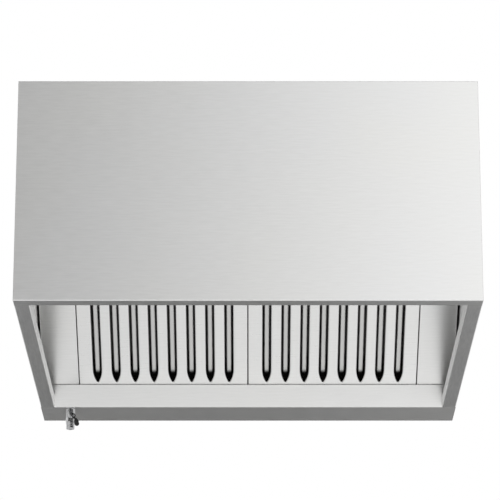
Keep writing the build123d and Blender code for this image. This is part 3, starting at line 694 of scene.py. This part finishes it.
def rivet_rings(head, shank, length):
    """A blind rivet from the pit of its pulled pin, over its head, down to the swelled tail."""
    rise = head * RIVET_DOME
    pit, pit_deep, pit_rim = head * 0.34, rise * 0.55, rise * 0.06
    dome_steps, dome_start, dome_turn = 6, 10, 72
    rings = circles((0.0, -pit_deep), (pit * 0.85, -pit_deep), (pit, -pit_rim))
    for n in range(dome_steps + 1):
        angle = math.radians(dome_start + dome_turn * n / dome_steps)
        rings.append(circle(pit + (head - pit) * math.sin(angle), -rise * (1 - math.cos(angle))))
    rings += circles((head, -rise * 0.93), (head * 0.97, -rise), (shank, -rise), (shank, 1.0 - length))
    tail = ((0.85, 0.9), (0.95, 0.5), (0.8, 0.1), (0.5, 0.0), (0.0, 0.0))
    return rings + circles(*((head * share, above - length) for share, above in tail))


def make_rivets(finishes):
    """Blind rivets with pulled pins, in place of the plain domes."""
    kinds = [("collar_rivets", UP, 3.6, 2.0), ("filler_rivets", BANK_OUT, 3.4, 2.0)]
    kinds += [(f"{side}_filter_handle_rivets", BANK_OUT, 3.0, 1.6) for side in ("left", "right")]
    for node, axis, head, shank in kinds:
        bodies = []
        for top, length in stations(node, axis):
            rings = rivet_rings(head, shank, length / MM)
            bodies.append(turned(top, axis, ACROSS, rings, RIVET_STEPS))
        stand_for(node, node + "_blind", bodies, finishes)


def make_bolts(finishes):
    """Hexagon bolts with chamfered heads, washer faces and rolled threads."""
    flats, head, shank, pitch, thread_deep = 10.0, 4.0, 3.0, 1.0, 0.5
    crown = flats / 2 * 0.93
    dish, washer_face, run_out, point = 0.15, 0.2, 0.6, 0.8
    bodies = []
    for top, length in stations("bracket_bolts", UP):
        tip = -length / MM
        rings = circles((0.0, -dish), (crown * 0.9, -dish), (crown, 0.0))
        rings += [hexagon(flats, 0.0, crown, -CHAMFER_FALL), hexagon(flats, washer_face - head)]
        rings += circles((crown, washer_face - head), (crown, -head), (shank, -head))
        rings += thread(shank, shank - thread_deep, pitch, -head - run_out, tip + run_out)
        rings += circles((shank - point, tip), (0.0, tip))
        bodies.append(turned(top, UP, ACROSS, rings, NUT_STEPS))
    stand_for("bracket_bolts", "bracket_bolts_threaded", bodies, finishes)


def nut_rings(flats, bore, tall, corner_radius):
    """A nut chamfered at both ends, with a countersunk bore and, where given, rounded corners."""
    crown = flats / 2 * 0.95
    sink = min(0.4, tall * 0.15)
    outside = [circle(crown, 0.0), hexagon(flats, 0.0, crown, -CHAMFER_FALL)]
    outside += [hexagon(flats, -tall, crown, CHAMFER_FALL), circle(crown, -tall)]
    if corner_radius:
        outside = [limited(ring, corner_radius) for ring in outside]
    bored = circles((bore + sink, -tall), (bore, sink - tall), (bore, -sink), (bore + sink, 0.0))
    return [*outside, *bored, outside[0]]


def limited(ring, most):
    """A ring whose radius is kept to a limit."""
    def held(angle):
        radius, height = ring(angle)
        return min(radius, most), height
    return held


def make_nuts(finishes):
    """Chamfered nuts under the top, on the drain and on the valve's stem."""
    stem = Vector(HINGE["drain_valve_turn"]["axis"]).normalized()
    level = UP.cross(stem)
    turned_level = Quaternion(stem, math.radians(LEVER_TURN)) @ level
    for node, axis, corner, flats, bore, corner_radius in (
        ("bracket_nuts", UP, ACROSS, 10.0, 3.05, None),
        ("drain_locknut", UP, ACROSS, 22.0, 8.35, 12.4),
        ("gland_nut", stem, level, 9.0, 2.55, None),
        ("lever_nut", stem, turned_level, 5.5, 1.55, None),
    ):
        bodies = []
        for top, length in stations(node, axis):
            rings = nut_rings(flats, bore, length / MM, corner_radius)
            bodies.append(turned(top, axis, corner, rings, NUT_STEPS))
        stand_for(node, node + "_chamfered", bodies, finishes)


def make_outlet(finishes):
    """The valve's lower half: collar, turned grooves, chamfered end and a real thread inside."""
    bore, spigot, wall, collar, mouth = 5.0, 7.9, 10.1, 11.0, 7.6
    split, collar_tall, edge, chamfer = -6.0, 5.0, 0.4, 0.9
    groove_half, groove_deep, grooves = 0.3, 0.35, (9.0, 11.0)
    thread_long, thread_start, thread_deep, pitch = 12.0, 0.5, 0.6, 1.3
    top, length = stations("valve_outlet", UP)[0]
    end = -length / MM
    foot = split - collar_tall
    rings = circles((bore, 0.0), (spigot, 0.0), (spigot, split), (collar - edge, split))
    rings += circles((collar, split - edge), (collar, foot + edge), (collar - edge, foot), (wall, foot))
    for groove in grooves:
        height = split - groove
        rings += circles((wall, height + groove_half), (wall - groove_deep, height))
        rings += circles((wall, height - groove_half))
    rings += circles((wall, end + chamfer), (wall - chamfer, end), (mouth + edge, end))
    inside = thread(mouth, mouth - thread_deep, pitch, end + thread_long, end + thread_start)
    rings += reversed(inside)
    rings += circles((bore, end + thread_long), (bore, 0.0))
    body = turned(top, UP, ACROSS, rings, OUTLET_STEPS)
    stand_for("valve_outlet", "valve_outlet_threaded", [body], finishes)


def make_collar(finishes):
    """Duct collar rolled from sheet: a lapped seam, a stop bead and a hemmed rim, on a flat flange."""
    low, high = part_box("exhaust_collar")
    flange = (high.x - low.x) / 2 / MM
    foot = (low.z - high.z) / MM
    top = Vector(((low.x + high.x) / 2, (low.y + high.y) / 2, high.z))
    lap, flange_edge, foot_bend = 0.7, 0.3, 2.0
    bead = ((0.0, -24.0), (0.7, -25.5), (1.3, -27.0), (0.7, -28.5), (0.0, -30.0))
    hem = ((0.0, -8.0), (1.1, -7.0), (1.1, -1.2), (0.4, -0.3), (-SHEET / 2, 0.0), (0.2 - SHEET, -0.8))

    def wall(depth, height):
        return lambda angle: (COLLAR_RADIUS - depth - lap * angle / (2 * math.pi), height)

    outside = [wall(0.0, -4.0)]
    outside += [wall(depth, height) for depth, height in bead]
    outside += [wall(0.0, SHEET + foot_bend + foot), circle(COLLAR_RADIUS + foot_bend, SHEET + foot)]
    edge = flange - flange_edge
    rim = circles((edge, SHEET + foot), (flange, SHEET / 2 + foot), (edge, foot))
    inside = [circle(COLLAR_RADIUS - 0.5, foot), wall(SHEET, foot_bend + foot)]
    inside += [wall(SHEET + depth, height) for depth, height in (*reversed(bead), *hem)]
    rings = [*outside, *rim, *inside, outside[0]]
    body = turned(top, UP, ACROSS, rings, COLLAR_STEPS)
    stand_for("exhaust_collar", "exhaust_collar_rolled", [body], finishes)


def weld_strip(side, y, low, high):
    """Corners and faces of a low, uneven bead under a gutter, which runs along X between two corners."""
    steps, inset, half_wide, proud, sunk = 44, 0.0006, 0.0009, 0.00022, 0.00005
    section = ((-1.0, 0.0), (-0.5, 0.8), (0.0, 1.0), (0.5, 0.8), (1.0, 0.0))
    corners, faces = [], []
    for n in range(steps + 1):
        share = n / steps if side > 0 else 1 - n / steps
        x = side * (low.x + inset + (high.x - low.x - 2 * inset) * share)
        half = half_wide + 0.00012 * math.sin(n * 1.9) + 0.00008 * math.sin(n * 0.7 + side)
        rise = proud + 0.00005 * math.sin(n * 2.3)
        corners += [(x, y + half * across, low.z + sunk - rise * depth) for across, depth in section]
    width = len(section)
    for n in range(steps):
        for k in range(width - 1):
            start = n * width + k
            faces.append((start, start + 1, start + width + 1, start + width))
    return corners, faces


def make_welds(finishes):
    """Ground weld seams where the side gutters meet the grease trough and the front gutter."""
    low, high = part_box("right_side_panel")
    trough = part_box("grease_trough")[1].y - TROUGH_DEEP * MM
    for side, hand in ((-1, "left"), (1, "right")):
        for name, y in (("rear", trough), ("front", FRONT_GUTTER_EDGE * MM)):
            corners, faces = weld_strip(side, y, low, high)
            piece = smooth_piece(f"{hand}_{name}_weld", corners, faces, finishes["weld_steel"], WELD_ANGLE)
            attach(piece, "canopy")


bpy.context.scene.view_settings.view_transform = "Standard"
make_camera()
make_world()
make_floor()
make_lights()
finishes = make_finishes()
dress_nodes(finishes)
make_rivets(finishes)
make_bolts(finishes)
make_nuts(finishes)
make_outlet(finishes)
make_collar(finishes)
make_welds(finishes)
